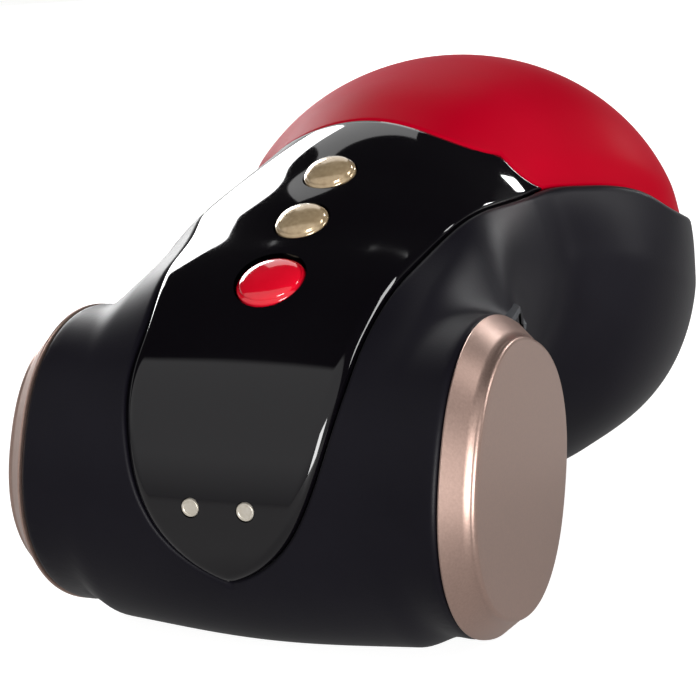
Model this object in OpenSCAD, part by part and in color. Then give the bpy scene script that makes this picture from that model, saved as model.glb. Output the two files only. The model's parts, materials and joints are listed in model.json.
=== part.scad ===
// Hand-held rechargeable massager: a barrel-shaped handle with metal-look end caps,
// a gloss control hood, and a domed head with a soft open cup at the back.
// Millimetres. The origin is under the middle of the object, on the table.
// -Y is the handle end, +Y is the open end of the cup.

/* [Body shape] */
// Half length of the handle barrel, to the seat of each end cap
barrel_half = 34.4; // [30:0.2:38]
// Barrel radius across its wide axis
barrel_ry = 26.6; // [24:0.1:29]
// Barrel radius across its narrow axis
barrel_rz = 24.8; // [23:0.1:27]
// Lean of the barrel's wide axis, in degrees
barrel_tilt = -22; // [-30:1:0]
// Half width of the head
head_rx = 46.2; // [43:0.1:50]
// Half length of the head
head_ry = 45; // [42:0.1:50]
// Half height of the head
head_rz = 42.2; // [40:0.1:46]
// Distance from the barrel axis to the head centre
head_reach = 80.6; // [76:0.1:86]

/* [Shells] */
// Thickness of the soft skin
skin_t = 2.6; // [1.6:0.1:3]
// Thickness of the hard shell under the skin
liner_t = 2; // [1.2:0.1:2.4]
// Thickness of the dome
dome_t = 2.5; // [1.8:0.1:3.2]
// How far the hood stands above the skin at its front
hood_proud = 0.8; // [0.2:0.1:1.2]
// How far the hood reaches below the skin surface
hood_sink = 1.6; // [1.2:0.1:2.2]
// Gap between the hood, dome and skin edges, in degrees round the body
seam_gap = 0.25; // [0.1:0.05:0.6]

/* [End caps] */
// How far each end cap stands out from its seat
cap_out = 4.6; // [3:0.1:6]
// Size of the flat outer face as a share of the seat
cap_face = 0.86; // [0.8:0.01:0.92]
// Thickness of the plate that each cap is pegged to
plate_t = 2; // [1.5:0.1:3]
// Diameter of the cap pegs
peg_d = 3.2; // [2.4:0.1:4]

/* [Buttons] */
// Diameter of the power button
power_d = 11.4; // [10:0.1:12]
// Diameter of the two speed buttons
speed_d = 9; // [8:0.1:10]
// Distance from the lower speed button down to the power button
power_pitch = 14.8; // [13.5:0.1:16]
// Distance between the two speed buttons
speed_pitch = 13.6; // [12:0.1:15]
// Button travel
travel = 0.6; // [0.4:0.05:0.8]
// Gap between a button and the hood round it
button_gap = 0.2; // [0.1:0.05:0.3]
// Height of a button's crown above the hood
button_rise = 0.9; // [0.5:0.1:1.4]

/* [Charging] */
// Diameter of each charging contact
contact_d = 2.9; // [2.4:0.1:3.4]
// Spacing of the charging contacts
contact_pitch = 9.1; // [8:0.1:10]

/* [Electrics] */
// Battery diameter
cell_d = 18; // [14:0.1:18.6]
// Battery length
cell_l = 50; // [40:1:54]
// Motor diameter
motor_d = 12; // [10:0.1:12.4]
// Motor length
motor_l = 20; // [16:0.5:22]
// Motor shaft diameter
shaft_d = 2; // [1.5:0.1:2.5]
// Circuit board width
board_w = 22; // [18:0.5:24]
// Circuit board length
board_l = 46; // [44:0.5:50]
// Circuit board thickness
board_t = 1.6; // [1:0.2:2]

/* [Cup] */
// Inside diameter of the cup
cup_d = 38; // [34:0.5:40]
// Wall thickness of the cup
cup_wall = 2.5; // [2:0.1:3]
// Depth of the cup
cup_depth = 56; // [46:1:60]
// Number of soft ribs in the cup
rib_count = 7; // [4:1:8]

/* [Hidden] */
$fn = 48;

// Places of the round masses that the outer surface blends
barrel_at = [0, -40.2, 26.2];
head_z = 41.6;
head_at = [0, barrel_at[1] + head_reach, head_z];
head_tilt = 23;
neck_at = [0, barrel_at[1] + 10, 39.9];
neck_r = [35, 36.8, 14.3];
neck_tilt = 57.6;
// Filling of the waist between the neck and the head
waist_at = [0, barrel_at[1] + 36, 48];
waist_r = [30, 26, 20];
waist_blend = 8;
barrel_power = 2.3;
barrel_waist = 0.05;
barrel_over = 48;
neck_blend = 15;
head_blend = 29.6;
// The blend of neck and barrel fades out from here to the end caps
fade_from = 25;
// The top line is filled out or drawn in by these heights, at even steps back from the barrel
fill = [-0.7, 4.7, 0.6, -3.1, 0.8, 3.8, 1.6];
fill_from = -11.8;
fill_step = 12;
// The fill grows to full height between these, and dies out sideways between these
fill_zs = [34, 50];
fill_xs = [14, 34];

// Rings of points carry the surface from the hood's tip to the mouth. They are cones about the
// tip's line that open backwards, and then slide back and flatten to meet the mouth's plane.
ring_front = [0, barrel_at[1] + 2.2, 31];
mouth_reach = 103;
mouth_at = [0, barrel_at[1] + mouth_reach, head_z];
tip_dip = -33;
level_turn = 90;
widest_turn = 135;
last_turn = 235;
seam_ring = 17;
ring_last = 34;
ring_turns = [[0, 0], [3, 11], [seam_ring, 128.5], [19, widest_turn], [ring_last, last_turn]];
hood_cols = 6;
skin_cols = 14;
seam_sweep = 22;
far = 90;
halvings = 13;
probe = 0.05;
// Half angle of the hood and dome about the rings' middle: [turn, angle]
hood_edge = [[0, 90], [8, 79], [14, 71.5], [21, 65.5], [30, 58], [45, 49.5], [60, 43.5], [75, 40],
    [98, 37.5], [110, 37], [129, 39.5], [136, 40.5], [151, 43.5], [165, 50.5], [182, 60],
    [192, 66.5], [205, 72], [220, 76], [last_turn, 79]];

function smin(a, b, k) = let (h = max(k - abs(a - b), 0) / k) min(a, b) - h * h * k / 4;
function turned(p, at, tilt) = let (dy = p[1] - at[1], dz = p[2] - at[2])
    [p[0] - at[0], dy * cos(tilt) + dz * sin(tilt), dz * cos(tilt) - dy * sin(tilt)];
function oval_f(p, at, r, tilt, scale) = let (q = turned(p, at, tilt))
    (norm([q[0] / r[0], q[1] / r[1], q[2] / r[2]]) - 1) * scale;
function oval_round(q, r, power) =
    pow(pow(abs(q[1]) / r[0], power) + pow(abs(q[2]) / r[1], power), 1 / power);
function barrel_size(x) = 1 - barrel_waist * (1 - pow(min(abs(x) / barrel_half, 1.3), 2));
function barrel_f(p) = let (q = turned(p, barrel_at, barrel_tilt))
    max((oval_round(q, [barrel_ry, barrel_rz], barrel_power) - barrel_size(p[0]))
        * (barrel_ry + barrel_rz) / 2, abs(p[0]) - barrel_over);
function ease(v, from, to) = let (s = min(max((v - from) / (to - from), 0), 1)) s * s * (3 - 2 * s);
function swell(u) = let (a = abs(u)) a < 1 ? (4 - 6 * a * a + 3 * a * a * a) / 6 : pow(max(2 - a, 0), 3) / 6;
function lift(p) = ease(p[2], fill_zs[0], fill_zs[1]) * (1 - ease(abs(p[0]), fill_xs[0], fill_xs[1]))
    * (fill * [for (k = [0 : len(fill) - 1]) swell((p[1] - barrel_at[1] - fill_from) / fill_step - k)]);
// Signed size field of the whole body: zero on the outer surface, negative inside
function body_f(p) = let (q = [p[0], p[1], p[2] - lift(p)]) smin(masses_f(q),
    oval_f(q, waist_at, waist_r, 0, (waist_r[0] + waist_r[1] + waist_r[2]) / 3), waist_blend);
function masses_f(p) = smin(smin(barrel_f(p), oval_f(p, neck_at, neck_r, neck_tilt, neck_r[2]),
        neck_blend * (1 - ease(abs(p[0]), fade_from, barrel_half)) + 1),
    oval_f(p, head_at, [head_rx, head_ry, head_rz], head_tilt, (head_rx + head_ry + head_rz) / 3),
    head_blend);
function reach(c, d, a, b, n) = let (m = (a + b) / 2)
    n == 0 ? c + m * d : body_f(c + m * d) < 0 ? reach(c, d, m, b, n - 1) : reach(c, d, a, m, n - 1);
function slope_at(p) = let (h = probe, axes = [[h, 0, 0], [0, h, 0], [0, 0, h]],
        g = [for (e = axes) body_f(p + e) - body_f(p - e)])
    g / norm(g);
// Point on the body along a line, moved off the body by a shell height
function shifted(p, off) = off == 0 ? p : p + off * slope_at(p);

function slide_share(t) = max(t - widest_turn, 0) / (last_turn - widest_turn);
function ring_centre(t) = ring_front + (mouth_at - ring_front) * slide_share(t);
function ring_dir(t, phi) = let (u = min(t, widest_turn) - (widest_turn - level_turn) * slide_share(t),
    e = tip_dip * (1 - min(t, level_turn) / level_turn))
    cos(u) * [0, -cos(e), sin(e)] + sin(u) * (cos(phi) * [0, sin(e), cos(e)] + sin(phi) * [1, 0, 0]);
function outer_at(t, phi, off) = shifted(reach(ring_centre(t), ring_dir(t, phi), 0, far, halvings), off);

function seam_window(i) = i <= seam_ring ? pow(i / seam_ring, 2) : (ring_last - i) / (ring_last - seam_ring);
// s is 0 at the top line and the bottom line and 1 along the hood's edge
function ring(i, s) = lookup(i, ring_turns) + seam_sweep * pow(s, 4) * seam_window(i);
function top_phi(t, s) = s * (lookup(t, hood_edge) - seam_gap);
function skin_phi(t, v) = let (b = lookup(t, hood_edge) + seam_gap) b + (360 - 2 * b) * v;
function skin_s(v) = 1 - 2 * min(v, 1 - v);

// Heights of each shell face over the body surface
function hood_over(t) = hood_proud * (1 - min(max((t - 85) / 30, 0), 1));

function top_row(i, off, n) = [for (j = [-n : n]) let (t = ring(i, j / n))
    outer_at(t, top_phi(t, j / n), off)];
function hood_row(i, n) = [for (j = [-n : n]) let (t = ring(i, j / n))
    outer_at(t, top_phi(t, j / n), hood_over(t))];
function skin_row(i, off, n) = [for (j = [0 : 2 * n]) let (v = j / (2 * n), t = ring(i, skin_s(v)))
    outer_at(t, skin_phi(t, v), off)];
// The closed rim that the skin and the dome make together at the mouth
function rim_row() = concat(skin_row(ring_last, 0, skin_cols),
    [for (j = [1 - hood_cols : hood_cols - 1]) outer_at(last_turn, top_phi(last_turn, j / hood_cols), 0)]);

function cell(a, b, c, d, other) = other ? [[a, b, d], [b, c, d]] : [[a, b, c], [a, c, d]];
// Closed solid between two sheets of rows of points. A sheet whose first row is one point starts
// at a pole there. Rows run from the left side to the right one, or the other way when right_first
// is set, so that the two sides split their cells alike.
module slab(outer, inner, right_first = false) {
    m = len(outer[1]);
    n = len(outer);
    pole = len(outer[0]) == 1;
    first = pole ? 1 : 0;
    count = pole ? 1 + (n - 1) * m : n * m;
    function at(i, j) = pole ? (i == 0 ? 0 : 1 + (i - 1) * m + j) : i * m + j;
    function under(i, j) = count + at(i, j);
    function other(j) = (j < (m - 1) / 2) == right_first;
    points = concat([for (r = outer) each r], [for (r = inner) each r]);
    faces = concat(
        [for (i = [first : n - 2], j = [0 : m - 2])
            each cell(at(i, j), at(i + 1, j), at(i + 1, j + 1), at(i, j + 1), other(j))],
        [for (i = [first : n - 2], j = [0 : m - 2])
            each cell(under(i, j + 1), under(i + 1, j + 1), under(i + 1, j), under(i, j), !other(j))],
        [for (i = [0 : n - 2]) each [[at(i + 1, 0), at(i, 0), under(i, 0)],
            [at(i + 1, 0), under(i, 0), under(i + 1, 0)],
            [at(i, m - 1), at(i + 1, m - 1), under(i, m - 1)],
            [under(i, m - 1), at(i + 1, m - 1), under(i + 1, m - 1)]]],
        [for (j = [0 : m - 2]) each [[at(n - 1, j + 1), at(n - 1, j), under(n - 1, j)],
            [at(n - 1, j + 1), under(n - 1, j), under(n - 1, j + 1)]]],
        [for (j = [0 : m - 2]) each pole
            ? [[at(0, 0), at(1, j), at(1, j + 1)], [under(1, j), under(0, 0), under(1, j + 1)]]
            : [[at(0, j), at(0, j + 1), under(0, j)], [under(0, j), at(0, j + 1), under(0, j + 1)]]]);
    polyhedron(points, faces);
}

// Solid body shrunk by -off, closed at the back: used to trim what stands inside the shells
module body_solid(off) {
    m = 2 * (skin_cols + hood_cols);
    n = ring_last;
    function at(i, j) = 1 + (i - 1) * m + (j % m);
    points = concat([outer_at(0, 0, off)],
        [for (i = [1 : n], j = [0 : m - 1]) outer_at(lookup(i, ring_turns), 360 * j / m, off)], [mouth_at]);
    last = len(points) - 1;
    faces = concat([for (j = [0 : m - 1]) [0, at(1, j), at(1, j + 1)]],
        [for (i = [1 : n - 1], j = [0 : m - 1]) each [[at(i, j), at(i + 1, j), at(i + 1, j + 1)],
            [at(i, j + 1), at(i, j), at(i + 1, j + 1)]]],
        [for (j = [0 : m - 1]) [at(n, j + 1), at(n, j), last]]);
    polyhedron(points, faces);
}

cut = 100;
wall_in = 1.3;
seat_back = barrel_at[1] + 35;
module end_cuts() for (side = [-1, 1])
    translate([side > 0 ? barrel_half : -barrel_half - cut, seat_back - cut, -1]) cube(cut);
module floor_cut() translate([-cut, -cut, -cut]) cube([2 * cut, 2 * cut, cut]);
module along_x(x) translate([x, 0, 0]) rotate([0, 90, 0]) children();
module along_y(at) translate(at) rotate([-90, 0, 0]) children();

module horseshoe(top, under) difference() {
    slab([for (i = [0 : ring_last]) i == 0 ? [outer_at(0, 0, top)] : skin_row(i, top, skin_cols)],
        [for (i = [0 : ring_last]) i == 0 ? [outer_at(0, 0, under)] : skin_row(i, under, skin_cols)], true);
    end_cuts();
    floor_cut();
}
module silicone_skin() color("#262229") horseshoe(0, -skin_t);
// The hard shell closes the barrel with a wall round each end plate
module end_walls() for (side = [0, 1]) mirror([side, 0, 0]) difference() {
    intersection() {
        body_solid(-skin_t - wall_in);
        translate([tray_half, seat_back - cut, 0]) cube([plate_t, cut, cut]);
    }
    translate([tray_half - 1, 0, 0]) oval_disc(plate_share + plate_gap / barrel_ry, plate_t + 2);
}
module inner_shell() color("dimgray") {
    difference() {
        horseshoe(-skin_t, -skin_t - liner_t);
        translate([-block_w / 2 - block_room, -cut, contact_z - block_h / 2 - block_room])
            cube([block_w + 2 * block_room, cut + tray_front, block_h + 2 * block_room]);
    }
    end_walls();
}

// The buttons, their board and the bosses share one sloping frame under the hood
panel_y = barrel_at[1] + 9.5;
panel_reach = 13;
function top_z(y) = reach([0, y, barrel_at[2]], [0, 0, 1], 0, far, halvings)[2];
panel_at = [0, panel_y, top_z(panel_y)];
panel_slope = atan2(top_z(panel_y + panel_reach) - top_z(panel_y - panel_reach), 2 * panel_reach);
panel_up = [0, cos(panel_slope), sin(panel_slope)];
panel_out = [0, -sin(panel_slope), cos(panel_slope)];
panel_probe = 15;
module on_panel(x, u, z) translate(panel_at) rotate([panel_slope, 0, 0]) translate([x, u, z]) children();
function panel_z(x, u, off) = let (c = panel_at + [x, 0, 0] + u * panel_up - panel_probe * panel_out)
    (reach(c, panel_out, 0, 2 * panel_probe, halvings) - panel_at) * panel_out + off;

power_u = -power_pitch;
plus_u = speed_pitch;
board_z = -12;
board_top = board_z + board_t;
board_mid = -1;
switch_w = 6;
switch_h = 2.2;
plunger_d = 3;
plunger_h = 0.8;
boss_d = 4.8;
boss_x = 8.4;
boss_us = [board_mid - board_l / 2 + 2.6, board_mid + board_l / 2 - 2.8];
screw_d = 2;
screw_fit = 0.03;
screw_l = 6;
head_d = 3.8;
head_h = 1.3;
flange_w = 0.9;
flange_t = 1.2;
flange_gap = 1.7;
stem_d = 4;
stem_gap = 0.1;
crown_share = 1.25;

contact_z = 27.5;
front_y = reach([0, barrel_at[1], contact_z], [0, -1, 0], 0, far, halvings)[1] - hood_proud;
contact_proud = 0.15;
contact_l = 11;
contact_fit = 0.05;

module boss_places() for (x = [-boss_x, boss_x], u = boss_us) on_panel(x, u, board_top) children();
module hood_panel() color("#0c0b0d") difference() {
    union() {
        slab([for (i = [0 : seam_ring]) i == 0 ? [outer_at(0, 0, hood_proud)] : hood_row(i, hood_cols)],
            [for (i = [0 : seam_ring])
                i == 0 ? [outer_at(0, 0, -hood_sink)] : top_row(i, -hood_sink, hood_cols)]);
        for (x = [-boss_x, boss_x], u = boss_us) on_panel(x, u, board_top)
            cylinder(d = boss_d, h = panel_z(x, u, -hood_sink) + hood_sink / 2 - board_top);
    }
    on_panel(0, power_u, board_top) cylinder(d = power_d + 2 * button_gap, h = 2 * panel_probe);
    for (u = [0, plus_u]) on_panel(0, u, board_top)
        cylinder(d = speed_d + 2 * button_gap, h = 2 * panel_probe);
    for (x = [-1, 1]) along_y([x * contact_pitch / 2, front_y - 2, contact_z])
        cylinder(d = contact_d + 2 * contact_fit, h = 2 + contact_l / 2);
    boss_places() translate([0, 0, -1]) cylinder(d = screw_d + 2 * screw_fit, h = screw_l);
}
module dome_shell() color("#b3001b")
    slab([for (i = [seam_ring : ring_last]) top_row(i, 0, hood_cols)],
        [for (i = [seam_ring : ring_last]) top_row(i, -dome_t, hood_cols)]);

module button(d, u) {
    top = panel_z(0, u, hood_proud);
    crown_r = d * crown_share;
    flange_z = top - hood_proud - hood_sink - flange_gap - flange_t;
    on_panel(0, u, 0) {
        intersection() {
            translate([0, 0, flange_z]) cylinder(d = d, h = top + button_rise + 1 - flange_z);
            translate([0, 0, top + button_rise - crown_r]) sphere(r = crown_r);
        }
        translate([0, 0, flange_z]) cylinder(d = d + 2 * flange_w, h = flange_t);
        translate([0, 0, board_top + switch_h + plunger_h + travel + stem_gap])
            cylinder(d = stem_d, h = flange_z - board_top - switch_h - plunger_h - travel - stem_gap);
    }
}
module power_button() color("#c8102e") button(power_d, power_u);
module plus_button() color("#c9b79c") button(speed_d, plus_u);
module minus_button() color("#c9b79c") button(speed_d, 0);

module button_switches() color("silver") for (u = [power_u, 0, plus_u]) on_panel(0, u, board_top) {
    translate([-switch_w / 2, -switch_w / 2, 0]) cube([switch_w, switch_w, switch_h]);
    cylinder(d = plunger_d, h = switch_h + plunger_h);
}
module circuit_board() color("darkgreen") difference() {
    on_panel(-board_w / 2, board_mid - board_l / 2, board_z) cube([board_w, board_l, board_t]);
    boss_places() translate([0, 0, -board_t - 1]) cylinder(d = screw_d + 2 * screw_fit, h = board_t + 2);
}
module board_screws() color("lightgray") boss_places() {
    translate([0, 0, -board_t - head_h]) cylinder(d = head_d, h = head_h);
    translate([0, 0, -board_t]) cylinder(d = screw_d, h = board_t + screw_l - 1.5);
}

// Charging contacts stand flush in the hood's front, carried by a block that also holds magnets
block_w = 24;
block_h = 7;
block_room = 0.3;
block_front = front_y + hood_proud + hood_sink + 0.9;
magnet_d = 4.6;
magnet_t = 2.8;
magnet_x = 9.2;
magnet_fit = 0.05;
module charge_contacts() color("gainsboro") for (x = [-1, 1])
    along_y([x * contact_pitch / 2, front_y - contact_proud, contact_z])
        cylinder(d = contact_d, h = contact_l);
module contact_block() color("#30343a") difference() {
    translate([-block_w / 2, block_front, contact_z - block_h / 2])
        cube([block_w, tray_front - block_front, block_h]);
    for (x = [-1, 1]) along_y([x * contact_pitch / 2, front_y, contact_z])
        cylinder(d = contact_d + 2 * contact_fit, h = contact_l + 0.5);
    for (x = [-magnet_x, magnet_x]) along_y([x, block_front - 1, contact_z])
        cylinder(d = magnet_d + 2 * magnet_fit, h = magnet_t + 1);
}
module charge_magnets() color("slategray") for (x = [-magnet_x, magnet_x])
    along_y([x, block_front, contact_z]) cylinder(d = magnet_d, h = magnet_t);

// Battery, in a tray between the two end plates
cell_at = [0, barrel_at[1], 24];
tray_gap = 0.2;
tray_front = cell_at[1] - 11;
tray_back = cell_at[1] + 12;
tray_base = 13;
tray_top = 31.5;
tray_half = barrel_half - plate_t;
module battery_cell() color("#3b6ea5") along_x(-cell_l / 2) translate([-cell_at[2], cell_at[1], 0])
    cylinder(d = cell_d, h = cell_l);
module battery_holder() color("#45484d") difference() {
    translate([-tray_half, tray_front, tray_base])
        cube([2 * tray_half, tray_back - tray_front, tray_top - tray_base]);
    along_x(-tray_half - 1) translate([-cell_at[2], cell_at[1], 0])
        cylinder(d = cell_d + 2 * tray_gap, h = 2 * tray_half + 2);
    translate([-tray_half - 1, cell_at[1] - cell_d / 2 - tray_gap, cell_at[2]])
        cube([2 * tray_half + 2, cell_d + 2 * tray_gap, cut]);
    for (side = [-1, 1], p = tray_screws) along_x(side > 0 ? tray_half - plate_screw_l : -tray_half - 1)
        translate([-p[1], p[0], 0]) cylinder(d = plate_screw_d + 2 * screw_fit, h = plate_screw_l + 1);
}

// End plates close the barrel and carry the caps on three pegs each
plate_screw_d = 2.4;
plate_screw_l = 8;
tray_screws = [[cell_at[1] - 8.3, 15.8], [cell_at[1] + 8.8, 15.8]];
peg_r = 15;
peg_fit = 0.05;
peg_angles = [90, 210, 330];
recess_d = 36;
recess_t = 1.8;
module pegs(d, x, h) for (a = peg_angles) along_x(x)
    translate([-barrel_at[2] - peg_r * sin(a), barrel_at[1] + peg_r * cos(a), 0]) cylinder(d = d, h = h);
plate_share = 0.8;
plate_gap = 0.1;
module oval_disc(share, h) rotate([90, 0, 90])
    linear_extrude(h) polygon([for (k = [0 : cap_points - 1]) oval_at(360 * k / cap_points, share)]);
module end_plate() difference() {
    translate([tray_half, 0, 0]) oval_disc(plate_share, plate_t);
    pegs(peg_d + 2 * peg_fit, tray_half - 1, plate_t + 2);
    for (p = tray_screws) along_x(tray_half - 1) translate([-p[1], p[0], 0])
        cylinder(d = plate_screw_d + 2 * screw_fit, h = plate_t + 2);
}
module right_end_plate() color("#5a5d63") end_plate();
module left_end_plate() color("#5a5d63") mirror([1, 0, 0]) end_plate();
module plate_screws() color("lightgray") for (side = [0, 1], p = tray_screws) mirror([side, 0, 0]) {
    along_x(barrel_half) translate([-p[1], p[0], 0]) cylinder(d = 4.2, h = 1.4);
    along_x(barrel_half - plate_screw_l) translate([-p[1], p[0], 0])
        cylinder(d = plate_screw_d, h = plate_screw_l);
}

// End cap: tapering rings of the barrel's own outline round to a flat face
cap_points = 64;
cap_seat = 0.995;
cap_rings = [[0, cap_seat], [cap_out * 0.55, 0.935], [cap_out * 0.72, 0.913], [cap_out * 0.86, 0.888],
    [cap_out * 0.95, cap_face], [cap_out, cap_face - 0.04]];
function oval_at(a, share) = let (c = cos(a), s = sin(a), k = share / oval_round([0, c, s],
    [barrel_ry, barrel_rz], barrel_power), y = k * c, z = k * s)
    [barrel_at[1] + y * cos(barrel_tilt) - z * sin(barrel_tilt),
     barrel_at[2] + y * sin(barrel_tilt) + z * cos(barrel_tilt)];
module cap_body() {
    n = len(cap_rings);
    points = [for (r = cap_rings, k = [0 : cap_points - 1])
        let (p = oval_at(360 * k / cap_points, r[1])) [barrel_half + r[0], p[0], p[1]]];
    polyhedron(points, concat([[for (k = [0 : cap_points - 1]) k]],
        [for (i = [0 : n - 2], k = [0 : cap_points - 1]) let (a = i * cap_points + k,
            b = i * cap_points + (k + 1) % cap_points) each [[a, a + cap_points, b],
            [b, a + cap_points, b + cap_points]]],
        [[for (k = [cap_points - 1 : -1 : 0]) (n - 1) * cap_points + k]]));
}
module end_cap() {
    difference() {
        cap_body();
        along_x(barrel_half - 1) translate([-barrel_at[2], barrel_at[1], 0])
            cylinder(d = recess_d, h = 1 + recess_t);
    }
    pegs(peg_d, tray_half + 0.3, plate_t + recess_t - 0.3);
}
module right_end_cap() color("#b9a296") end_cap();
module left_end_cap() color("#b9a296") mirror([1, 0, 0]) end_cap();

// Soft cup in the head, ribbed inside, and the frame that holds it
cup_r = cup_d / 2;
cup_or = cup_r + cup_wall;
rib_h = 1.5;
rib_gap = cup_depth / (rib_count + 1);
rib_w = 3.5;
module cup_liner() color("#57202c") translate(mouth_at) rotate([90, 0, 0]) rotate_extrude() difference() {
    union() {
        square([cup_or, cup_depth - cup_or / 2]);
        translate([0, cup_depth - cup_or / 2]) intersection() {
            scale([1, 0.5]) circle(r = cup_or, $fn = 96);
            square(cup_or);
        }
    }
    polygon(concat([[0, -1], [cup_r, -1]],
        [for (i = [1 : rib_count - 1], k = [-2 : 2])
            [cup_r - rib_h * (1 - k * k / 4), i * rib_gap + k * rib_w / 4]],
        [[cup_r, cup_depth - cup_or / 2 - 1], [cup_r * 0.7, cup_depth - cup_or * 0.3],
            [0, cup_depth - cup_wall - 1]]));
}

mouth_rings = [[0, 0], [2, 0.05], [3.3, 0.16], [4, 0.36], [4, 0.62], [3.4, 0.86], [2.2, 0.97], [0.8, 1],
    [0, 1]];
module mouth_ring() {
    m = 2 * (skin_cols + hood_cols);
    rim = rim_row();
    n = len(mouth_rings);
    function inner(p) = let (d = [p[0], 0, p[2] - mouth_at[2]]) mouth_at + d / norm(d) * cup_r;
    points = [for (r = mouth_rings, p = rim) p + (inner(p) - p) * r[1] + [0, r[0], 0]];
    color("#1b181c")
        polyhedron(points, [for (i = [0 : n - 1], j = [0 : m - 1]) let (k = (j + 1) % m,
            a = i * m + j, b = i * m + k, c = ((i + 1) % n) * m + j, d = ((i + 1) % n) * m + k)
            each [[b, a, c], [d, b, c]]]);
}

frame_t = 2.5;
bulkhead_gap = 4;
rim_gap = 4.5;
frame_ys = [tray_back, mouth_at[1] - cup_depth - bulkhead_gap, mouth_at[1] - rim_gap];
frame_half = [tray_half, cut / 2, cut / 2];
frame_gap = 0.1;
rail_w = 5;
neck_rail = [14, 34];
head_rail = [18, 20];
frame_hole = 12;
module rails(place, from, to) for (x = [-place[0] - rail_w, place[0]]) translate([x, from, place[1]])
    cube([rail_w, to + frame_t - from, rail_w]);
module core_frame() color("#6a6e75") difference() {
    intersection() {
        union() {
            for (k = [0 : 2]) translate([-frame_half[k], frame_ys[k], 0])
                cube([2 * frame_half[k], frame_t, cut]);
            rails(neck_rail, frame_ys[0], frame_ys[1]);
            rails(head_rail, frame_ys[1], frame_ys[2]);
        }
        body_solid(-skin_t - liner_t - frame_gap);
    }
    along_y([0, mouth_at[1] - cup_depth - 0.5, mouth_at[2]]) cylinder(r = cup_or + 0.1, h = cut);
    along_y([0, frame_ys[1] - 1, mouth_at[2]]) cylinder(d = frame_hole, h = frame_t + 2);
    on_panel(-board_w / 2 - 1, board_mid - board_l / 2 - 1, board_z - head_h - 1)
        cube([board_w + 2, board_l + 2, cut]);
}

// Two vibration motors beside the cup, each with an eccentric weight on its shaft
motor_x = cup_or + 3.6 + motor_d / 2;
motor_y = head_at[1] - 14.6;
motor_at = [motor_x, motor_y, mouth_at[2]];
shaft_fit = 0.04;
shaft_in = 5;
weight_r = 5;
weight_t = 6;
weight_gap = 1;
module motor() difference() {
    along_y(motor_at) cylinder(d = motor_d, h = motor_l);
    along_y(motor_at + [0, motor_l - shaft_in - 0.5, 0])
        cylinder(d = shaft_d + 2 * shaft_fit, h = shaft_in + 1);
}
module motor_weight() {
    along_y(motor_at + [0, motor_l - shaft_in, 0])
        cylinder(d = shaft_d, h = shaft_in + weight_gap + weight_t);
    difference() {
        along_y(motor_at + [0, motor_l + weight_gap, 0]) cylinder(r = weight_r, h = weight_t);
        translate(motor_at + [-weight_r - 1, motor_l, shaft_d / 2])
            cube([2 * weight_r + 2, weight_t + 2, weight_r]);
    }
}
module motor_cradle() difference() {
    translate([motor_x - motor_d / 2 - 4, motor_y + 3, mouth_at[2] - motor_d / 2 - 2])
        cube([motor_d / 2 + 6, motor_l - 6, motor_d + 4]);
    along_y(motor_at - [0, 1, 0]) cylinder(d = motor_d, h = motor_l + 2);
    along_y([0, 0, mouth_at[2]]) cylinder(r = cup_or, h = cut);
}
module right_motor() color("silver") motor();
module left_motor() color("silver") mirror([1, 0, 0]) motor();
module right_motor_weight() color("goldenrod") motor_weight();
module left_motor_weight() color("goldenrod") mirror([1, 0, 0]) motor_weight();
module right_motor_cradle() color("#45484d") motor_cradle();
module left_motor_cradle() color("#45484d") mirror([1, 0, 0]) motor_cradle();

silicone_skin();
inner_shell();
hood_panel();
dome_shell();
left_end_cap();
right_end_cap();
left_end_plate();
right_end_plate();
power_button();
plus_button();
minus_button();
button_switches();
circuit_board();
board_screws();
charge_contacts();
contact_block();
charge_magnets();
battery_cell();
battery_holder();
core_frame();
plate_screws();
cup_liner();
mouth_ring();
left_motor();
right_motor();
left_motor_weight();
right_motor_weight();
left_motor_cradle();
right_motor_cradle();
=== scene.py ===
"""Looks of a hand-held rechargeable massager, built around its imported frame.

A soft black skin wraps the barrel and rises into two ears beside a matt red dome. A gloss black
hood with three domed buttons runs from the barrel's front up to the dome. Champagne caps close
the barrel, and a soft ribbed cup opens at the back of the head.
"""
import json
import math

import bmesh
import bpy
import numpy as np
from mathutils import Matrix, Vector


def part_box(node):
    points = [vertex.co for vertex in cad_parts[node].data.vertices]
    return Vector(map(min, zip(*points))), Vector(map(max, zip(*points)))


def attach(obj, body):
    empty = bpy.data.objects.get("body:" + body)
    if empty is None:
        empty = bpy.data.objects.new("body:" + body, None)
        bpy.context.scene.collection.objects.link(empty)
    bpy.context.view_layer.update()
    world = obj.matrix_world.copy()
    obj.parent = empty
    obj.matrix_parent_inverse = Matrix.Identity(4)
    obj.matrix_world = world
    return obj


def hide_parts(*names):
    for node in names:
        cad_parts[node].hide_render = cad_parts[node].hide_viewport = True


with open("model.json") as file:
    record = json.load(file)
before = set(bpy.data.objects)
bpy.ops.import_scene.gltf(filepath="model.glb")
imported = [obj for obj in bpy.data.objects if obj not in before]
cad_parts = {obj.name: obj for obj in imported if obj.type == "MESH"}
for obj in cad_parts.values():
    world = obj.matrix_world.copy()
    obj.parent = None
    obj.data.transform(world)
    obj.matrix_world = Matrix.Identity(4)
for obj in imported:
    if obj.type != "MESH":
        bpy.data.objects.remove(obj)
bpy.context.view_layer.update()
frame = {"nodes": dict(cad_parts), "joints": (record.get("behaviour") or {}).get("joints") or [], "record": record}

MM = 0.001

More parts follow.
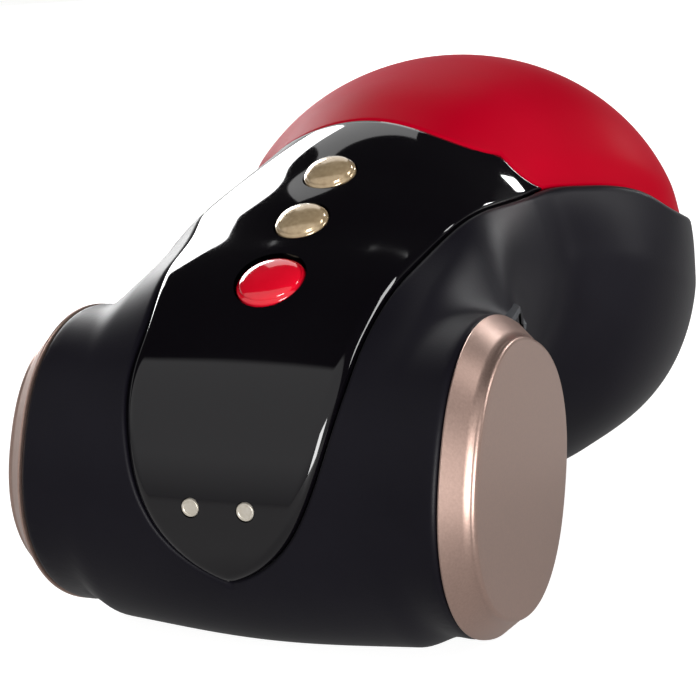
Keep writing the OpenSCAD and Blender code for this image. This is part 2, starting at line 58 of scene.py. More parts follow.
# ---------------------------------------------------------------- body shape, in millimetres
cap_lo, cap_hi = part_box("right_end_cap")
cup_lo, cup_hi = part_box("cup_liner")
barrel_at = np.array([0, (cap_lo.y + cap_hi.y) / 2, (cap_lo.z + cap_hi.z) / 2]) / MM
mouth_at = np.array([0, cup_hi.y, (cup_lo.z + cup_hi.z) / 2]) / MM
barrel_half = 34.4
barrel_r = (26.6, 24.8)
barrel_tilt = -22
barrel_power = 2.3
barrel_waist = 0.05
barrel_over = 48
neck_at = barrel_at + [0, 10, 13.7]
neck_r = (35, 36.8, 14.3)
neck_tilt = 57.6
neck_blend = 15
fade_from = 25
# The top line is filled out or drawn in by these heights, at even steps back from the barrel
fill = (-0.7, 4.7, 0.6, -3.1, 0.8, 3.8, 1.6)
fill_from = -11.8
fill_step = 12
# The fill grows to full height between these, and dies out sideways between these
fill_zs = (34, 50)
fill_xs = (14, 34)
# Filling of the waist between the neck and the head
waist_at = (0, barrel_at[1] + 36, 48)
waist_r = (30, 26, 20)
waist_blend = 8
head_at = np.array([0, barrel_at[1] + 80.6, mouth_at[2]])
head_r = (46.2, 45, 42.2)
head_tilt = 23
head_blend = 29.6
ring_front = np.array([0, barrel_at[1] + 2.2, 31])
tip_dip = -31
level_turn = 90
widest_turn = 135
last_turn = 235
seam_ring = 17
last_ring = 34
ring_turns = ((0, 3, seam_ring, 19, last_ring), (0, 11, 128.5, widest_turn, last_turn))
seam_sweep = 22
seam_gap = 0.25
skin_t = 2.6
dome_t = 2.5
hood_sink = 1.6
hood_proud = 0.8
hood_last_turn = ring_turns[1][2]
dome_sunk = 0.5
ear_lip = 1.5
cheek_high = 1.7
cup_wall = 2.5
ring_crown = 3.9
seat_back = barrel_at[1] + 35
# Half angle of the hood and dome round the body: turn from the tip, angle
hood_edge = [[0, 90], [8, 83.5], [14, 77.5], [21, 70.5], [30, 61.5], [45, 50.5], [60, 44], [75, 40],
             [98, 37.5], [110, 37], [129, 39.5], [136, 40.5], [151, 43.5], [165, 50.5], [182, 60],
             [192, 66.5], [205, 72], [220, 76], [last_turn, 79]]


def ease(x):
    x = np.clip(x, 0, 1)
    return x * x * (3 - 2 * x)


def smooth_join(a, b, k):
    h = np.maximum(k - np.abs(a - b), 0) / k
    return np.minimum(a, b) - h * h * k / 4


def turned(p, at, tilt):
    c, s = math.cos(math.radians(tilt)), math.sin(math.radians(tilt))
    y, z = p[..., 1] - at[1], p[..., 2] - at[2]
    return np.stack([p[..., 0] - at[0], y * c + z * s, z * c - y * s], -1)


def oval(p, at, radii, tilt, scale):
    return (np.linalg.norm(turned(p, at, tilt) / np.array(radii), axis=-1) - 1) * scale


def barrel(p):
    q = np.abs(turned(p, barrel_at, barrel_tilt))
    across = np.abs(p[..., 0])
    size = 1 - barrel_waist * (1 - np.minimum(across / barrel_half, 1.3) ** 2)
    way = ((q[..., 1] / barrel_r[0]) ** barrel_power
           + (q[..., 2] / barrel_r[1]) ** barrel_power) ** (1 / barrel_power)
    return np.maximum((way - size) * sum(barrel_r) / 2, across - barrel_over)


def swell(u):
    a = np.abs(u)
    return np.where(a < 1, (4 - 6 * a * a + 3 * a ** 3) / 6, np.maximum(2 - a, 0) ** 3 / 6)


def lift(p):
    steps = (p[..., 1] - barrel_at[1] - fill_from) / fill_step
    heights = sum(h * swell(steps - k) for k, h in enumerate(fill))
    grown = ease((p[..., 2] - fill_zs[0]) / (fill_zs[1] - fill_zs[0]))
    faded = 1 - ease((np.abs(p[..., 0]) - fill_xs[0]) / (fill_xs[1] - fill_xs[0]))
    return grown * faded * heights


def body(p):
    """How far a point is outside the body, about."""
    p = np.stack([p[..., 0], p[..., 1], p[..., 2] - lift(p)], -1)
    k = neck_blend * (1 - ease((np.abs(p[..., 0]) - fade_from) / (barrel_half - fade_from))) + 1
    handle = smooth_join(barrel(p), oval(p, neck_at, neck_r, neck_tilt, neck_r[2]), k)
    whole = smooth_join(handle, oval(p, head_at, head_r, head_tilt, sum(head_r) / 3), head_blend)
    return smooth_join(whole, oval(p, waist_at, waist_r, 0, sum(waist_r) / 3), waist_blend)


def outward(p, h=0.05):
    g = np.stack([body(p + e) - body(p - e) for e in np.eye(3) * h], -1)
    return g / np.linalg.norm(g, axis=-1, keepdims=True)


def on_body(start, way, far=90):
    """The point where a line from inside leaves the body."""
    near = np.zeros(way.shape[:-1])
    far = np.full(near.shape, float(far))
    for _ in range(28):
        mid = (near + far) / 2
        inside = body(start + mid[..., None] * way) < 0
        near, far = np.where(inside, mid, near), np.where(inside, far, mid)
    return start + near[..., None] * way


def edge_angle(turn):
    """The hood's half angle, on a smooth curve through its points."""
    x, y = np.array(hood_edge).T
    slope = np.gradient(y, x)
    i = np.clip(np.searchsorted(x, turn) - 1, 0, len(x) - 2)
    w = x[i + 1] - x[i]
    u = np.clip((turn - x[i]) / w, 0, 1)
    return ((1 + 2 * u) * (1 - u) ** 2 * y[i] + u * (1 - u) ** 2 * w * slope[i]
            + u * u * (3 - 2 * u) * y[i + 1] + u * u * (u - 1) * w * slope[i + 1])


def turn_of(ring, side):
    """Turn from the hood's tip for a ring number; side is 0 on the middle line, 1 at the edge."""
    window = np.where(ring <= seam_ring, (ring / seam_ring) ** 2,
                      (last_ring - ring) / (last_ring - seam_ring))
    return np.interp(ring, *ring_turns) + seam_sweep * side ** 4 * window


def base_points(turn, angle):
    """Points on the body for a turn from the tip and an angle round it, in degrees."""
    share = np.maximum(turn - widest_turn, 0) / (last_turn - widest_turn)
    start = ring_front + (mouth_at - ring_front) * share[..., None]
    u = np.radians(np.minimum(turn, widest_turn) - (widest_turn - level_turn) * share)
    e = np.radians(tip_dip * (1 - np.minimum(turn, level_turn) / level_turn))
    a = np.radians(angle)
    way = np.stack([np.sin(u) * np.sin(a),
                    -np.cos(u) * np.cos(e) + np.sin(u) * np.cos(a) * np.sin(e),
                    np.cos(u) * np.sin(e) + np.sin(u) * np.cos(a) * np.cos(e)], -1)
    return on_body(start, way)


def to_edge(points, lines):
    """Distance from every point to the nearest of some lines of points."""
    a = np.concatenate([line[:-1] for line in lines])
    b = np.concatenate([line[1:] for line in lines])
    d = b - a
    dd = np.maximum((d * d).sum(-1), 1e-9)
    flat = points.reshape(-1, 3)
    out = np.empty(len(flat))
    for i in range(0, len(flat), 2000):
        p = flat[i:i + 2000, None]
        u = np.clip(((p - a) * d).sum(-1) / dd, 0, 1)
        out[i:i + 2000] = np.linalg.norm(p - a - u[..., None] * d, axis=-1).min(1)
    return out.reshape(points.shape[:-1])


def rolled(height, e, r):
    """A height that rolls over to the edge with radius r."""
    return height - r + np.sqrt(np.maximum(r * r - np.maximum(r - e, 0) ** 2, 0))


def crowd(n, power=1.8):
    """n + 1 shares from 0 to 1, closest together at both ends."""
    k = np.linspace(0, 1, n + 1)
    low = 0.5 * (2 * np.minimum(k, 1 - k)) ** power
    return np.where(k < 0.5, low, 1 - low)


# ---------------------------------------------------------------- making pieces
def clear_choice():
    if bpy.context.mode != "OBJECT":
        bpy.ops.object.mode_set(mode="OBJECT")
    bpy.ops.object.select_all(action="DESELECT")


def choose(piece):
    clear_choice()
    piece.select_set(True)
    bpy.context.view_layer.objects.active = piece
    return piece


def smooth(piece, angle=40):
    choose(piece)
    bpy.ops.object.shade_smooth_by_angle(angle=math.radians(angle))
    return piece


def settle(piece):
    """Puts the piece's place into its mesh."""
    choose(piece)
    bpy.ops.object.transform_apply(location=True, rotation=True, scale=True)
    return piece


def new_piece(name, shape):
    mesh = bpy.data.meshes.new(name)
    shape.to_mesh(mesh)
    shape.free()
    piece = bpy.data.objects.new(name, mesh)
    bpy.context.scene.collection.objects.link(piece)
    return piece


def add_sheet(shape, points, flip):
    """Adds rows of points as faces, and returns the rows of corners."""
    rows = [[shape.verts.new(p * MM) for p in row] for row in points]
    for a, b in zip(rows, rows[1:]):
        for k in range(len(a) - 1):
            corners = (a[k], b[k], b[k + 1], a[k + 1])
            shape.faces.new(corners[::-1] if flip else corners)
    return rows


def close_rim(shape, outer, inner, flip):
    for k in range(len(outer) - 1):
        corners = (outer[k], outer[k + 1], inner[k + 1], inner[k])
        shape.faces.new(corners[::-1] if flip else corners)


def shell(name, outer, inner, flip, pole, finish_ends=None):
    """A closed shell between two sheets of points."""
    shape = bmesh.new()
    top = add_sheet(shape, outer, flip)
    under = add_sheet(shape, inner, not flip)
    close_rim(shape, [r[0] for r in top], [r[0] for r in under], flip)
    close_rim(shape, [r[-1] for r in top], [r[-1] for r in under], not flip)
    close_rim(shape, top[-1], under[-1], flip)
    if not pole:
        close_rim(shape, top[0], under[0], not flip)
    bmesh.ops.remove_doubles(shape, verts=shape.verts, dist=1e-7)
    if finish_ends:
        finish_ends(shape)
    return new_piece(name, shape)


def lathe(name, profile, corners=96):
    """A turned piece about Z: a circle is drawn up through the radii and heights of a profile."""
    clear_choice()
    r, z = profile[0]
    bpy.ops.mesh.primitive_circle_add(vertices=corners, radius=r, location=(0, 0, z))
    piece = bpy.context.object
    piece.name = name
    bpy.ops.object.mode_set(mode="EDIT")
    bpy.ops.mesh.select_all(action="SELECT")
    bpy.ops.mesh.edge_face_add()
    for wide, high in profile[1:]:
        bpy.ops.mesh.extrude_region_move(TRANSFORM_OT_translate={"value": (0, 0, high - z)})
        bpy.ops.transform.resize(value=(wide / r, wide / r, 1), center_override=(0, 0, high))
        r, z = wide, high
    bpy.ops.mesh.select_all(action="SELECT")
    bpy.ops.mesh.normals_make_consistent(inside=False)
    bpy.ops.object.mode_set(mode="OBJECT")
    return settle(piece)


def place(piece, matrix):
    piece.matrix_world = matrix
    return settle(piece)


def mirrored_copy(piece, name):
    """The same piece for the other side, with its own mesh."""
    twin = piece.copy()
    twin.data = piece.data.copy()
    twin.name = name
    bpy.context.scene.collection.objects.link(twin)
    choose(twin)
    bpy.ops.object.mode_set(mode="EDIT")
    bpy.ops.mesh.select_all(action="SELECT")
    bpy.ops.transform.mirror(constraint_axis=(True, False, False), center_override=(0, 0, 0))
    bpy.ops.mesh.normals_make_consistent(inside=False)
    bpy.ops.object.mode_set(mode="OBJECT")
    return twin


# ---------------------------------------------------------------- skin, dome and hood shells
def make_skin():
    rings = np.interp(np.linspace(0, last_turn, 141), ring_turns[1], ring_turns[0])[:, None]
    v = crowd(200)[None, :]
    side = 1 - 2 * np.minimum(v, 1 - v)
    turn = turn_of(rings + 0 * v, side)
    b = edge_angle(turn) + seam_gap
    base = base_points(turn, b + (360 - 2 * b) * v)
    up = outward(base)
    e = to_edge(base, [base[:, 0], base[:, -1]])
    # Beside the dome the skin swells into a rounded lip
    ear = ease((turn - 120) / 30) * ease((last_turn - turn) / 25)
    lip = ear_lip * ear * (1 - ease(e / 12))
    # The sides of the head are a little fuller than the shell under them
    cheek = (cheek_high * ease((np.abs(base[..., 0]) - 28) / 15) * ease((base[..., 1] + 2) / 22)
             * ease((last_turn - turn) / 30))
    outer = base + up * (rolled(lip, e, 0.7 + 1.1 * ear) + cheek * ease(e / 14))[..., None]
    inner = base - up * skin_t
    outer[..., 2] = np.maximum(outer[..., 2], 0)
    inner[..., 2] = np.maximum(inner[..., 2], 0.4)
    return shell("skin", outer, inner, False, True, finish_barrel_ends)


def finish_barrel_ends(shape):
    """Cuts the skin flat at each cap and rolls its edge in."""
    lip = 1.1
    steps = 5
    for side in (-1, 1):
        cut_x = side * (barrel_half - lip) * MM
        near = [f for f in shape.faces
                if f.calc_center_median().y < seat_back * MM and side * f.calc_center_median().x > 0]
        corners = {c for f in near for c in f.verts}
        edges = {c for f in near for c in f.edges}
        cut = bmesh.ops.bisect_plane(shape, geom=[*near, *edges, *corners], dist=1e-7,
                                     plane_co=(cut_x, 0, 0), plane_no=(side, 0, 0), clear_outer=True)
        loop = [c for c in cut["geom_cut"] if isinstance(c, bmesh.types.BMEdge)]
        loose = {c for c in loop if len(c.link_faces) == 1}
        outer, inner = [], []
        for c in loose:
            mid = np.array((c.verts[0].co + c.verts[1].co) / 2) / MM
            (outer if body(mid) > -skin_t / 2 else inner).append(c)
        start = {}
        for c in outer:
            for corner in c.verts:
                p = np.array(corner.co) / MM
                n = outward(p) * [0, 1, 1]
                start[corner] = (corner.co.copy(), Vector(n / np.linalg.norm(n)))
        edge = outer
        for k in range(1, steps + 2):
            grown = bmesh.ops.extrude_edge_only(shape, edges=edge)["geom"]
            fresh = [c for c in grown if isinstance(c, bmesh.types.BMVert)]
            edge = [c for c in grown if isinstance(c, bmesh.types.BMEdge)
                    and all(x in set(fresh) for x in c.verts)]
            turn = math.radians(90 * min(k / steps, 1))
            drop = lip * (1 - math.cos(turn)) + (0.5 if k > steps else 0)
            now = {}
            for corner in fresh:
                old = next(x for x in (y.other_vert(corner) for y in corner.link_edges) if x in start)
                first, n = start[old]
                corner.co = first + Vector((side * lip * math.sin(turn) * MM, 0, 0)) - n * drop * MM
                now[corner] = (first, n)
            start = now
        grown = bmesh.ops.extrude_edge_only(shape, edges=inner)["geom"]
        fresh = [c for c in grown if isinstance(c, bmesh.types.BMVert)]
        ends = [c for c in grown if isinstance(c, bmesh.types.BMEdge)
                and all(x in set(fresh) for x in c.verts)]
        for corner in fresh:
            corner.co.x = side * barrel_half * MM
        bmesh.ops.bridge_loops(shape, edges=edge + ends)
    bmesh.ops.recalc_face_normals(shape, faces=shape.faces)


def make_dome():
    k = np.linspace(0, 1, 91) ** 1.35
    rings = (seam_ring + (last_ring - seam_ring) * k)[:, None]
    s = 2 * crowd(110)[None, :] - 1
    turn = turn_of(rings + 0 * s, np.abs(s))
    base = base_points(turn, s * (edge_angle(turn) - seam_gap))
    up = outward(base)
    e = to_edge(base, [base[:, 0], base[:, -1], base[0]])
    beside = to_edge(base, [base[:, 0], base[:, -1]])
    sunk = -dome_sunk * (1 - ease(beside / 7)) * ease((turn - 128) / 25) * ease((last_turn - turn) / 25)
    outer = base + up * rolled(sunk, e, 0.6)[..., None]
    return shell("dome", outer, base - up * dome_t, False, False)


def make_hood():
    k = 1 - (1 - np.linspace(0, 1, 121)) ** 1.25
    rings = np.interp(k * hood_last_turn, ring_turns[1], ring_turns[0])[:, None]
    s = 2 * crowd(104)[None, :] - 1
    turn = turn_of(rings + 0 * s, np.abs(s))
    base = base_points(turn, s * (edge_angle(turn) - seam_gap))
    up = outward(base)
    e = to_edge(base, [base[:, 0], base[:, -1], base[-1]])
    proud = hood_proud * (1 - ease((turn - 75) / 45))
    outer = base + up * rolled(proud, e, 0.6 + 1.3 * (1 - ease((turn - 70) / 50)))[..., None]
    return shell("hood", outer, base - up * hood_sink, False, True)


# ---------------------------------------------------------------- buttons and contacts
button_bodies = {"power_button": "power", "plus_button": "plus", "minus_button": "minus"}
button_d = {"power_button": 11.4, "plus_button": 9.0, "minus_button": 9.0}


def make_button(node):
    """A clear domed cap on a straight side, with a soft rim."""
    body_name = button_bodies[node]
    joint = next(j for j in frame["joints"] if j["child"] == body_name)
    out = Vector(joint["axis"]).normalized()
    lo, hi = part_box(node)
    r = button_d[node] / 2 * MM
    # The crown's top is where the box is highest along the way out
    mesh = frame["nodes"][node].data
    top = max(Vector(c.co).dot(out) for c in mesh.vertices)
    middle = (lo + hi) / 2
    centre = middle + out * (top - middle.dot(out))
    crown = 1.35 * MM
    side = [(r * 0.985, -4.2 * MM), (r * 0.985, -crown - 0.35 * MM)]
    roll = [(r * (0.985 - 0.10 * math.sin(a) ** 2), -crown - 0.35 * MM + 0.5 * MM * math.sin(a))
            for a in np.radians(np.linspace(15, 75, 5))]
    start_r, start_z = roll[-1]
    dome = [(start_r * math.cos(a), start_z + (-start_z) * math.sin(a))
            for a in np.radians(np.linspace(7, 88.5, 15))]
    piece = lathe(node + "_cap", side + roll + dome)
    turn = Vector((0, 0, 1)).rotation_difference(out).to_matrix().to_4x4()
    place(piece, Matrix.Translation(centre) @ turn)
    smooth(piece, 50)
    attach(piece, body_name)
    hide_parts(node)
    bore = lathe(node + "_bore", [(r + 0.22 * MM, -5 * MM), (r + 0.22 * MM, 5 * MM)])
    place(bore, Matrix.Translation(centre) @ turn)
    return piece, bore


def make_contacts():
    """Two plated discs with a chamfered rim, flush in the hood's front."""
    lo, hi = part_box("charge_contacts")
    r = (hi.z - lo.z) / 2
    z = (lo.z + hi.z) / 2
    turn = Matrix.Rotation(math.radians(90), 4, "X")
    pieces, bores = [], []
    for side in (-1, 1):
        x = side * (hi.x - r)
        at = Matrix.Translation((x, lo.y, z)) @ turn
        disc = lathe(f"contact_{'left' if side < 0 else 'right'}",
                     [(r * 0.99, -6 * MM), (r * 0.99, -0.22 * MM), (r * 0.96, -0.08 * MM),
                      (r * 0.9, 0), (r * 0.72, 0), (r * 0.68, -0.05 * MM), (r * 0.02, -0.05 * MM)], 64)
        pieces.append(smooth(place(disc, at), 35))
        bore = lathe("contact_bore", [(r + 0.1 * MM, -3.4 * MM), (r + 0.1 * MM, 3 * MM)], 64)
        bores.append(place(bore, at))
    return pieces, bores


def bore_holes(piece, bores):
    for bore in bores:
        choose(piece)
        cut = piece.modifiers.new("bore", "BOOLEAN")
        cut.operation = "DIFFERENCE"
        cut.solver = "EXACT"
        cut.object = bore
        bpy.ops.object.modifier_apply(modifier=cut.name)
        bpy.data.objects.remove(bore)


# ---------------------------------------------------------------- caps, cup and mouth
def oval_ring(count, share):
    """The barrel's end outline, drawn in by a share."""
    a = np.radians(np.linspace(0, 360, count, endpoint=False))
    c, s = np.cos(a), np.sin(a)
    k = share / ((np.abs(c) / barrel_r[0]) ** barrel_power
                 + (np.abs(s) / barrel_r[1]) ** barrel_power) ** (1 / barrel_power)
    t = math.radians(barrel_tilt)
    return (barrel_at[1] + k * (c * math.cos(t) - s * math.sin(t)),
            barrel_at[2] + k * (c * math.sin(t) + s * math.cos(t)))


def make_cap():
    """A pressed and painted cap: a tapering band, a tight turn and a flat face."""
    out = cap_hi.x / MM - barrel_half
    foot, brow, turn_r = 0.997, 0.875, 0.9
    band = [(0, 0.988), (0.12, 0.995), (0.3, foot)]
    band += [(0.3 + (out - turn_r - 0.3) * s, foot + (brow - foot) * s) for s in (0.25, 0.5, 0.75, 1)]
    turn = [(out - turn_r * (1 - math.sin(a)), brow - 0.032 * (1 - math.cos(a)))
            for a in np.radians(np.linspace(15, 90, 7))]
    face = [(out, 0.78), (out, 0.6), (out, 0.35), (out, 0.1)]
    rings = [(0, 0.9)] + band + turn + face
    clear_choice()
    bpy.ops.mesh.primitive_circle_add(vertices=160, radius=1)
    piece = bpy.context.object
    piece.name = "right_cap"
    shape = bmesh.new()
    rows = []
    for x, share in rings:
        y, z = oval_ring(160, share)
        rows.append([shape.verts.new(((barrel_half + x) * MM, b * MM, c * MM)) for b, c in zip(y, z)])
    for a, b in zip(rows, rows[1:]):
        for k in range(160):
            n = (k + 1) % 160
            shape.faces.new((a[k], a[n], b[n], b[k]))
    shape.faces.new(rows[0][::-1])
    shape.faces.new(rows[-1])
    bmesh.ops.recalc_face_normals(shape, faces=shape.faces)
    shape.to_mesh(piece.data)
    shape.free()
    return smooth(piece, 40)


def rim_points():
    """The closed line that the skin and dome make together at the mouth."""
    b = float(edge_angle(np.array(float(last_turn))))
    around = np.linspace(-b, 360 - b, 241)[:-1]
    return base_points(np.full(240, float(last_turn)), around)


def make_mouth():
    """A soft rolled ring between the head's rim and the cup."""
    rim = rim_points()
    cup_r = (cup_hi.x - cup_lo.x) / 2 / MM - cup_wall
    d = (rim - mouth_at) * [1, 0, 1]
    inner = mouth_at + d / np.linalg.norm(d, axis=-1, keepdims=True) * cup_r
    front = [(0.5 - 0.5 * math.cos(a), ring_crown * math.sin(a) ** 0.75)
             for a in np.radians(np.linspace(0, 180, 25))]
    back = [(1, -1.0), (0.6, -1.5), (0.02, -1.5)]
    shape = bmesh.new()
    rows = []
    for share, out in front + back:
        p = rim + (inner - rim) * share + [0, 1, 0] * np.array(out)
        rows.append([shape.verts.new(q * MM) for q in p])
    rows.append(rows[0])
    for a, b in zip(rows, rows[1:]):
        for k in range(len(a)):
            n = (k + 1) % len(a)
            shape.faces.new((a[k], a[n], b[n], b[k]))
    bmesh.ops.recalc_face_normals(shape, faces=shape.faces)
    return smooth(new_piece("mouth_roll", shape), 50)


def make_cup():
    """The soft cup: a closed end and six rounded ribs inside."""
    r = (cup_hi.x - cup_lo.x) / 2
    wall = cup_wall * MM
    depth = cup_hi.y - cup_lo.y
    inside = []
    step = depth / 8
    for k in np.linspace(0.0, 1.0, 113):
        z = k * (depth - r / 2 - 1 * MM)
        near = abs((z / step + 0.5) % 1 - 0.5) * step
        rib = 1.5 * MM * max(0, 1 - (near / (1.75 * MM)) ** 2) if 0.6 * step < z < 6.4 * step else 0
        inside.append((r - wall - rib, z))
    end = [((r - wall) * math.cos(a), depth - r / 2 - 1 * MM + (r / 2 - wall) * math.sin(a))
           for a in np.radians(np.linspace(10, 88, 9))]
    outside = [(r * 0.998 * math.cos(a), depth - r / 2 + (r / 2) * math.sin(a))
               for a in np.radians(np.linspace(88, 0, 11))] + [(r * 0.998, 0)]
    shape = bmesh.new()
    count = 120
    rows = []
    for wide, deep in inside + end + outside:
        rows.append([shape.verts.new((wide * math.cos(a), cup_hi.y - deep,
                                      mouth_at[2] * MM + wide * math.sin(a)))
                     for a in np.radians(np.linspace(0, 360, count, endpoint=False))])
    half = len(inside) + len(end)
    rings = [*zip(rows[:half], rows[1:half]), *zip(rows[half:], rows[half + 1:]), (rows[-1], rows[0])]
    for a, b in rings:
        for k in range(count):
            n = (k + 1) % count
            shape.faces.new((a[k], a[n], b[n], b[k]))
    shape.faces.new(rows[half - 1])
    shape.faces.new(rows[half][::-1])
    bmesh.ops.recalc_face_normals(shape, faces=shape.faces)
    return smooth(new_piece("soft_cup", shape), 40)


# ---------------------------------------------------------------- finishes
def hex_colour(code):
    """An sRGB hex colour as linear light."""
    parts = [int(code[i:i + 2], 16) / 255 for i in (1, 3, 5)]
    return [c / 12.92 if c <= 0.04045 else ((c + 0.055) / 1.055) ** 2.4 for c in parts] + [1.0]


def add_node(material, kind, settings=None, links=None):
    """Adds one node with its settings and links."""
    tree = material.node_tree
    node = tree.nodes.new(kind)
    for key, value in (settings or {}).items():
        if isinstance(key, str) and hasattr(node, key):
            setattr(node, key, value)
        else:
            node.inputs[key].default_value = value
    for socket, source in (links or {}).items():
        tree.links.new(source, node.inputs[socket])
    return node


def make_finish(name, dark, light, patch_mm, rough, grain_mm, grain_height, stretch=(1, 1, 1), **fixed):
    """A finish whose colour, gloss and grain all vary over the surface by sizes in millimetres."""
    m = bpy.data.materials.new(name)
    m.use_nodes = True
    m.node_tree.nodes.clear()
    at = add_node(m, "ShaderNodeTexCoord").outputs["Object"]
    if stretch != (1, 1, 1):
        at = add_node(m, "ShaderNodeMapping", {"Scale": stretch}, {"Vector": at}).outputs[0]
    patches = add_node(m, "ShaderNodeTexNoise", {"Scale": 1000 / patch_mm, "Detail": 3.0}, {"Vector": at})
    colour = add_node(m, "ShaderNodeValToRGB", {}, {"Fac": patches.outputs[0]})
    for stop, place_at, code in ((0, 0.3, dark), (1, 0.7, light)):
        colour.color_ramp.elements[stop].position = place_at
        colour.color_ramp.elements[stop].color = hex_colour(code)
    gloss = add_node(m, "ShaderNodeMapRange", {"From Min": 0.3, "From Max": 0.7,
                                               "To Min": rough[0], "To Max": rough[1]},
                     {"Value": patches.outputs[0]})
    grain = add_node(m, "ShaderNodeTexNoise", {"Scale": 1000 / grain_mm, "Detail": 2.0}, {"Vector": at})
    bump = add_node(m, "ShaderNodeBump", {"Strength": 1.0, "Distance": grain_height * MM},
                    {"Height": grain.outputs[0]})
    shader = add_node(m, "ShaderNodeBsdfPrincipled", fixed,
                      {"Base Color": colour.outputs[0], "Roughness": gloss.outputs[0],
                       "Normal": bump.outputs[0]})
    add_node(m, "ShaderNodeOutputMaterial", {}, {"Surface": shader.outputs[0]})
    return m


finishes = {
    # Soft-touch silicone, moulded in a finely blasted tool: satin, black with a violet cast
    "silicone": make_finish("moulded silicone", "#0d0b13", "#121018", 22, (0.40, 0.47), 0.45, 0.012,
                            **{"IOR": 1.41, "Specular IOR Level": 0.22,
                               "Sheen Weight": 0.04, "Sheen Roughness": 0.4}),
    # Dyed silicone from the same tool finish
    "cup": make_finish("dyed silicone", "#4a1420", "#5c1b29", 18, (0.42, 0.5), 0.5, 0.012,
                       **{"IOR": 1.43, "Sheen Weight": 0.1}),
    # Polished black ABS with a clear hard coat: a slow orange peel is all that breaks it
    "hood": make_finish("polished black ABS", "#070509", "#0b090d", 30, (0.035, 0.06), 9, 0.004,
                        **{"IOR": 1.52, "Coat Weight": 0.15, "Coat Roughness": 0.03}),
    # ABS under a soft-touch red paint: matt, with a pink bloom where it turns away
    "dome": make_finish("soft-touch red paint", "#ae001c", "#b80020", 25, (0.46, 0.53), 0.5, 0.010,
                        **{"IOR": 1.2, "Specular IOR Level": 0.09, "Sheen Weight": 0.05,
                           "Sheen Roughness": 0.3, "Sheen Tint": hex_colour("#ff7a9c")}),
    # Aluminium-flake paint on ABS: the flake shows as a fine sparkle in a champagne ground
    "cap": make_finish("champagne flake paint", "#b1958a", "#bb9e92", 0.35, (0.33, 0.39), 0.3, 0.004,
                       **{"Metallic": 0.85, "Coat Weight": 0.1}),
    # Clear-coated red acrylic
    "red_button": make_finish("red acrylic", "#e60726", "#ee0e2c", 6, (0.08, 0.12), 3, 0.003,
                              **{"IOR": 1.49, "Coat Weight": 1.0, "Coat Roughness": 0.02}),
    # Pearl champagne acrylic under a clear dome
    "gold_button": make_finish("pearl champagne acrylic", "#b89f7c", "#cbb38e", 0.8, (0.16, 0.24), 3, 0.003,
                               **{"IOR": 1.49, "Metallic": 0.45, "Coat Weight": 1.0, "Coat Roughness": 0.02}),
    # Nickel plating, tumbled bright
    "contact": make_finish("nickel plating", "#e2d9c8", "#efe8dc", 0.7, (0.36, 0.46), 0.4, 0.004,
                           **{"Metallic": 0.7}),
    "inner_plastic": make_finish("glass-filled nylon", "#3a3c40", "#44474b", 5, (0.5, 0.62), 0.6, 0.02,
                                 **{"IOR": 1.53}),
    "steel": make_finish("turned steel", "#a8aaad", "#bfc0c2", 0.5, (0.25, 0.38), 0.4, 0.006,
                         stretch=(1, 1, 6), **{"Metallic": 1.0}),
    "board": make_finish("solder mask", "#0c4a22", "#115c2c", 2.0, (0.25, 0.35), 1.2, 0.02,
                         **{"IOR": 1.55, "Coat Weight": 0.4}),
    "battery": make_finish("shrink sleeve", "#2b5f96", "#3570ab", 9, (0.3, 0.4), 4, 0.03,
                           **{"IOR": 1.54}),
    "magnet": make_finish("nickel-plated magnet", "#8e9093", "#a4a6a8", 1.5, (0.2, 0.3), 0.6, 0.004,
                          **{"Metallic": 1.0}),
    "brass": make_finish("turned brass", "#b8933f", "#cba650", 0.6, (0.22, 0.34), 0.4, 0.006,
                         stretch=(1, 6, 1), **{"Metallic": 1.0}),
}
# Opal acrylic table: it looks white, and throws little light back up
table = make_finish("opal acrylic", "#a5a4a2", "#acabaa", 180, (0.7, 0.8), 2, 0.01)
finishes["floor"] = table
seen_direct = add_node(table, "ShaderNodeLightPath").outputs["Is Camera Ray"]
glow = add_node(table, "ShaderNodeMapRange", {"To Min": 0.12, "To Max": 0.9}, {"Value": seen_direct})
shine = add_node(table, "ShaderNodeEmission", {"Color": hex_colour("#ffffff")},
                 {"Strength": glow.outputs[0]})
ground = next(n for n in table.node_tree.nodes if n.type == "BSDF_PRINCIPLED")
whole = add_node(table, "ShaderNodeAddShader", {}, {0: ground.outputs[0], 1: shine.outputs[0]})
table.node_tree.links.new(whole.outputs[0], next(
    n for n in table.node_tree.nodes if n.type == "OUTPUT_MATERIAL").inputs["Surface"])


def dress(piece, slot):
    piece.data.materials.clear()
    piece.data.materials.append(finishes[slot])


for part in frame["record"]["subparts"]:
    mesh = frame["nodes"][part["node"]].data
    for k in range(max(len(mesh.materials), 1)):
        if k < len(mesh.materials):
            mesh.materials[k] = finishes[part["material_slot"]]
        else:
            mesh.materials.append(finishes[part["material_slot"]])

# ---------------------------------------------------------------- the pieces
skin = smooth(make_skin(), 50)
dome = smooth(make_dome(), 50)
hood = make_hood()
buttons, bores = zip(*(make_button(node) for node in button_bodies))
contacts, contact_bores = make_contacts()
bore_holes(hood, list(bores) + contact_bores)
smooth(hood, 50)
right_cap = make_cap()
left_cap = smooth(mirrored_copy(right_cap, "left_cap"), 40)
mouth = make_mouth()
cup = make_cup()

for piece, node, slot in ((skin, "silicone_skin", "silicone"), (dome, "dome_shell", "dome"),
                          (hood, "hood_panel", "hood"), (right_cap, "right_end_cap", "cap"),
                          (left_cap, "left_end_cap", "cap"), (mouth, "mouth_ring", "silicone"),
                          (cup, "cup_liner", "cup")):
    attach(piece, "body")
    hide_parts(node)
    dress(piece, slot)
for piece in contacts:
    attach(piece, "body")
    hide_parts("charge_contacts")
    dress(piece, "contact")
for piece, slot in zip(buttons, ("red_button", "gold_button", "gold_button")):
    dress(piece, slot)

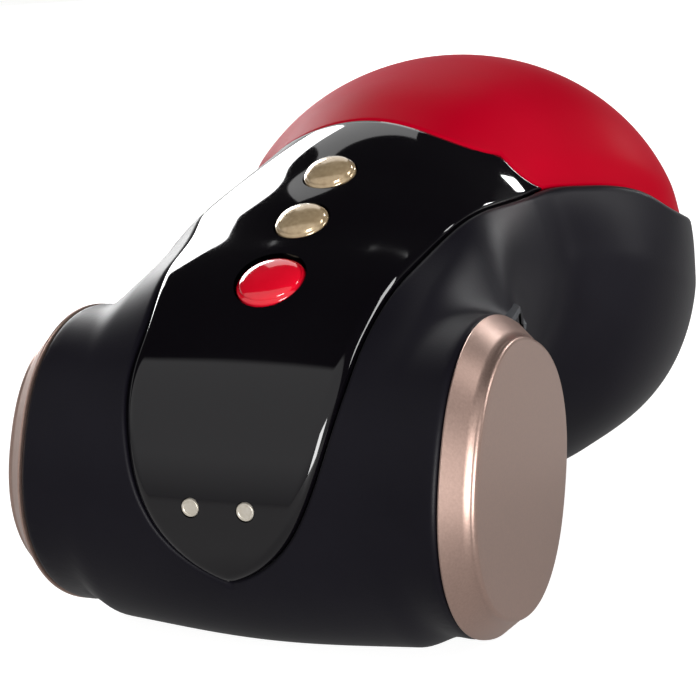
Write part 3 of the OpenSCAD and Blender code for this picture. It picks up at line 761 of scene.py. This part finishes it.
# ---------------------------------------------------------------- studio
clear_choice()
bpy.ops.mesh.primitive_circle_add(vertices=128, radius=4, fill_type="NGON", location=(0, 0, -0.0002))
floor = settle(bpy.context.object)
floor.name = "floor"
floor.data.materials.append(finishes["floor"])


def softbox(name, at, aim, size, watts):
    data = bpy.data.lights.new(name, "AREA")
    data.shape = "RECTANGLE"
    data.size, data.size_y = size
    data.energy = watts
    light = bpy.data.objects.new(name, data)
    light.location = at
    light.rotation_euler = (Vector(at) - Vector(aim)).to_track_quat("Z", "Y").to_euler()
    bpy.context.scene.collection.objects.link(light)


middle = (0, 0, 0.04)
softbox("tall back left", (-1.12, 0.97, 0.62), middle, (0.74, 0.8), 17)
softbox("overhead back left", (-0.50, 1.10, 0.92), middle, (0.75, 0.85), 2.2)
softbox("front right", (0.85, -0.95, 0.26), middle, (0.5, 0.5), 12)
softbox("back right", (0.75, 1.7, 0.8), middle, (0.28, 0.2), 4.5)
softbox("right side", (1.15, 0.45, 0.6), middle, (0.3, 0.5), 4)

world = bpy.data.worlds.new("studio")
bpy.context.scene.world = world
world.use_nodes = True
world.node_tree.nodes.clear()
# The room is dim in front, dark overhead and white low behind; past the table all is seen white
way = add_node(world, "ShaderNodeTexCoord").outputs["Generated"]
parts = add_node(world, "ShaderNodeSeparateXYZ", {}, {0: way})
front = add_node(world, "ShaderNodeMapRange",
                 {"From Min": -0.17, "From Max": -0.13, "To Min": 0.6, "To Max": 0.02},
                 {"Value": parts.outputs["Y"]})
low = add_node(world, "ShaderNodeMapRange",
               {"From Min": 0.1, "From Max": 0.4, "To Min": 1.0, "To Max": 0.0},
               {"Value": parts.outputs["Z"]})
behind = add_node(world, "ShaderNodeMapRange", {"From Min": -0.1, "From Max": 0.1},
                  {"Value": parts.outputs["Y"]})
dusk = add_node(world, "ShaderNodeMapRange",
                {"From Min": 0.0, "From Max": 0.35, "To Min": 0.5, "To Max": 1.0},
                {"Value": parts.outputs["Z"]})
ahead = add_node(world, "ShaderNodeMath", {"operation": "MULTIPLY"},
                 {0: front.outputs[0], 1: dusk.outputs[0]})
left = add_node(world, "ShaderNodeMapRange",
                {"From Min": -0.2, "From Max": 0.25, "To Min": 0.9, "To Max": 0.15},
                {"Value": parts.outputs["X"]})
back = add_node(world, "ShaderNodeMath", {"operation": "MULTIPLY"},
                {0: left.outputs[0], 1: behind.outputs[0]})
wall = add_node(world, "ShaderNodeMath", {"operation": "MULTIPLY"},
                {0: low.outputs[0], 1: back.outputs[0]})
room = add_node(world, "ShaderNodeMath", {"operation": "MAXIMUM"},
                {0: ahead.outputs[0], 1: wall.outputs[0]})
lit = add_node(world, "ShaderNodeBackground", {"Color": hex_colour("#ffffff")},
               {"Strength": room.outputs[0]})
seen = add_node(world, "ShaderNodeBackground", {"Color": hex_colour("#fdfdfc"), "Strength": 1.0})
camera_ray = add_node(world, "ShaderNodeLightPath").outputs["Is Camera Ray"]
both = add_node(world, "ShaderNodeMixShader", {},
                {0: camera_ray, 1: lit.outputs[0], 2: seen.outputs[0]})
add_node(world, "ShaderNodeOutputWorld", {}, {"Surface": both.outputs[0]})

camera_data = bpy.data.cameras.new("camera")
camera_data.lens = 87.16
camera_data.sensor_width = 36
camera_data.clip_start = 0.01
camera = bpy.data.objects.new("camera", camera_data)
camera.location = (0.1149, -0.2754, 0.1080)
camera.rotation_euler = [math.radians(a) for a in (76.31, 3.67, 22.89)]
bpy.context.scene.collection.objects.link(camera)
bpy.context.scene.camera = camera
bpy.context.scene.view_settings.view_transform = "Standard"
